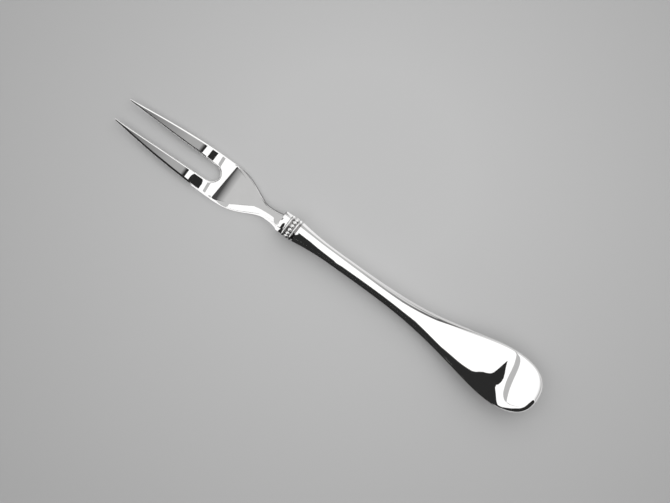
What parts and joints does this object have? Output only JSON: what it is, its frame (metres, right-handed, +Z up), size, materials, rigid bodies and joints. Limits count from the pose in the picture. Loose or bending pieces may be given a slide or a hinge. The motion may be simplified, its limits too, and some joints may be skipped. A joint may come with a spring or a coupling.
{
  "type": "meat fork",
  "caption": "Two-tine meat serving fork with a forged head, a beaded collar and a hollow handle with a broad turned-up end, for holding and serving slices of meat.",
  "frame": {"origin": "middle of the fork's length and width, on the surface that it lies on", "axes": "+X from the tine tips to the handle end, +Z up, out of the upper face of the handle"},
  "size_m": [0.2124, 0.0246, 0.01],
  "materials": {
    "forged_silver": "polished",
    "collar_silver": "polished",
    "sheet_silver": "polished",
    "cement": "matte"
  },
  "bodies": {
    "root": {"fork_head": "forged_silver", "front_cap": "collar_silver", "collar_sleeve": "collar_silver", "front_ring": "collar_silver", "bead_row": "collar_silver", "rear_ring": "collar_silver", "handle_upper_shell": "sheet_silver", "handle_lower_shell": "sheet_silver", "handle_cement": "cement"}
  },
  "joints": []
}
